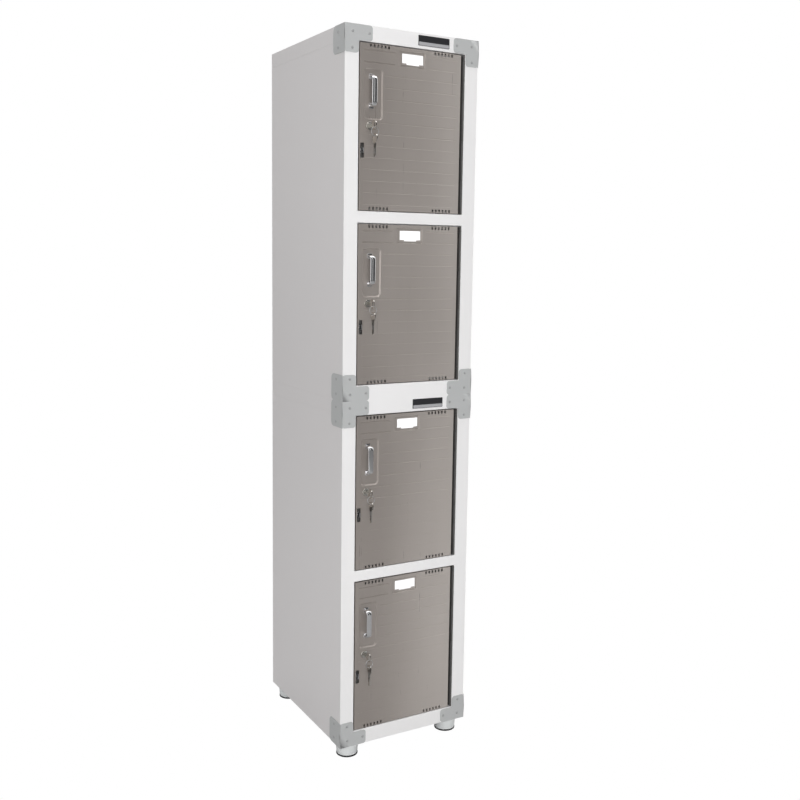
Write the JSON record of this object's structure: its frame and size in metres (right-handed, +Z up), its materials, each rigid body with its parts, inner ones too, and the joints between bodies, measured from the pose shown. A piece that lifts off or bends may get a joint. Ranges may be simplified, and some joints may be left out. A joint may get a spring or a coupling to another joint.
{
  "type": "locker cabinet",
  "caption": "Tall stacked steel locker with hinged, vented doors, each with a pull, a key lock and a padlock eye, on levelling feet.",
  "frame": {"origin": "centre of the bounding box at floor level", "axes": "+Z up, +X to the right seen from the front, doors face -Y"},
  "size_m": [0.3864, 0.4984, 1.863],
  "materials": {
    "cabinet_enamel": "light grey powder coat, satin",
    "frame_enamel": "off-white powder coat, satin",
    "door_steel": "taupe brushed metal with a vertical grain",
    "bracket_zinc": "satin grey zinc",
    "fastener_zinc": "zinc plate",
    "chrome": "polished chrome plate",
    "lock_nickel": "nickel plate",
    "label_card": "blank white card in a steel holder",
    "badge": "dark blank plate with a grey strip",
    "bumper_rubber": "black moulded rubber",
    "foot_metal": "chrome plate on a black rubber pad"
  },
  "bodies": {
    "cabinet": {"lower_left_side": "cabinet_enamel", "lower_right_side": "cabinet_enamel", "lower_back_panel": "cabinet_enamel", "lower_top_cap": "cabinet_enamel", "lower_base_pan": "cabinet_enamel", "lower_shelf": "cabinet_enamel", "lower_front_frame": "frame_enamel", "lower_corner_brackets": "bracket_zinc", "upper_left_side": "cabinet_enamel", "upper_right_side": "cabinet_enamel", "upper_back_panel": "cabinet_enamel", "upper_top_cap": "cabinet_enamel", "upper_base_pan": "cabinet_enamel", "upper_shelf": "cabinet_enamel", "upper_front_frame": "frame_enamel", "upper_corner_brackets": "bracket_zinc", "bracket_rivets": "fastener_zinc", "name_plates": "badge", "frame_hinge_leaves": "frame_enamel", "hinge_pins": "fastener_zinc", "padlock_staples": "fastener_zinc", "base_fasteners": "fastener_zinc", "door_bumpers": "bumper_rubber", "coat_hooks": "fastener_zinc"},
    "door_1": {"door_1_skin": "door_steel", "door_1_pan": "door_steel", "door_1_hinge_leaf": "frame_enamel", "door_1_handle": "chrome", "door_1_label": "label_card", "lock_housing_1": "lock_nickel"},
    "lock_core_1": {"lock_core_1": "lock_nickel"},
    "key_ring_1": {"spare_key_1": "lock_nickel"},
    "door_2": {"door_2_skin": "door_steel", "door_2_pan": "door_steel", "door_2_hinge_leaf": "frame_enamel", "door_2_handle": "chrome", "door_2_label": "label_card", "lock_housing_2": "lock_nickel"},
    "lock_core_2": {"lock_core_2": "lock_nickel"},
    "key_ring_2": {"spare_key_2": "lock_nickel"},
    "door_3": {"door_3_skin": "door_steel", "door_3_pan": "door_steel", "door_3_hinge_leaf": "frame_enamel", "door_3_handle": "chrome", "door_3_label": "label_card", "lock_housing_3": "lock_nickel"},
    "lock_core_3": {"lock_core_3": "lock_nickel"},
    "key_ring_3": {"spare_key_3": "lock_nickel"},
    "door_4": {"door_4_skin": "door_steel", "door_4_pan": "door_steel", "door_4_hinge_leaf": "frame_enamel", "door_4_handle": "chrome", "door_4_label": "label_card", "lock_housing_4": "lock_nickel"},
    "lock_core_4": {"lock_core_4": "lock_nickel"},
    "key_ring_4": {"spare_key_4": "lock_nickel"},
    "foot_1": {"foot_1": "foot_metal"},
    "foot_2": {"foot_2": "foot_metal"},
    "foot_3": {"foot_3": "foot_metal"},
    "foot_4": {"foot_4": "foot_metal"}
  },
  "joints": [
    {"name": "door_1_hinge", "type": "hinge", "parent": "cabinet", "child": "door_1", "pos_m": [0.1495, -0.20627, 1.62325], "axis": [0, 0, 1], "range_deg": [0, 115]},
    {"name": "lock_1_turn", "type": "hinge", "parent": "door_1", "child": "lock_core_1", "pos_m": [-0.1225, -0.20777, 1.6265], "axis": [0, 1, 0], "range_deg": [0, 90]},
    {"name": "key_ring_1_swing", "type": "hinge", "parent": "lock_core_1", "child": "key_ring_1", "pos_m": [-0.1225, -0.23722, 1.6178], "axis": [0, 1, 0], "range_deg": [-100, 45]},
    {"name": "door_2_hinge", "type": "hinge", "parent": "cabinet", "child": "door_2", "pos_m": [0.1495, -0.20627, 1.19025], "axis": [0, 0, 1], "range_deg": [0, 115]},
    {"name": "lock_2_turn", "type": "hinge", "parent": "door_2", "child": "lock_core_2", "pos_m": [-0.1225, -0.20777, 1.1935], "axis": [0, 1, 0], "range_deg": [0, 90]},
    {"name": "key_ring_2_swing", "type": "hinge", "parent": "lock_core_2", "child": "key_ring_2", "pos_m": [-0.1225, -0.23722, 1.1848], "axis": [0, 1, 0], "range_deg": [-100, 45]},
    {"name": "door_3_hinge", "type": "hinge", "parent": "cabinet", "child": "door_3", "pos_m": [0.1495, -0.20627, 0.70925], "axis": [0, 0, 1], "range_deg": [0, 115]},
    {"name": "lock_3_turn", "type": "hinge", "parent": "door_3", "child": "lock_core_3", "pos_m": [-0.1225, -0.20777, 0.7125], "axis": [0, 1, 0], "range_deg": [0, 90]},
    {"name": "key_ring_3_swing", "type": "hinge", "parent": "lock_core_3", "child": "key_ring_3", "pos_m": [-0.1225, -0.23722, 0.7038], "axis": [0, 1, 0], "range_deg": [-100, 45]},
    {"name": "door_4_hinge", "type": "hinge", "parent": "cabinet", "child": "door_4", "pos_m": [0.1495, -0.20627, 0.27625], "axis": [0, 0, 1], "range_deg": [0, 115]},
    {"name": "lock_4_turn", "type": "hinge", "parent": "door_4", "child": "lock_core_4", "pos_m": [-0.1225, -0.20777, 0.2795], "axis": [0, 1, 0], "range_deg": [0, 90]},
    {"name": "key_ring_4_swing", "type": "hinge", "parent": "lock_core_4", "child": "key_ring_4", "pos_m": [-0.1225, -0.23722, 0.2708], "axis": [0, 1, 0], "range_deg": [-100, 45]},
    {"name": "foot_1_screw", "type": "slide", "parent": "cabinet", "child": "foot_1", "axis": [0, 0, -1], "range_m": [0, 0.015]},
    {"name": "foot_2_screw", "type": "slide", "parent": "cabinet", "child": "foot_2", "axis": [0, 0, -1], "range_m": [0, 0.015]},
    {"name": "foot_3_screw", "type": "slide", "parent": "cabinet", "child": "foot_3", "axis": [0, 0, -1], "range_m": [0, 0.015]},
    {"name": "foot_4_screw", "type": "slide", "parent": "cabinet", "child": "foot_4", "axis": [0, 0, -1], "range_m": [0, 0.015]}
  ]
}
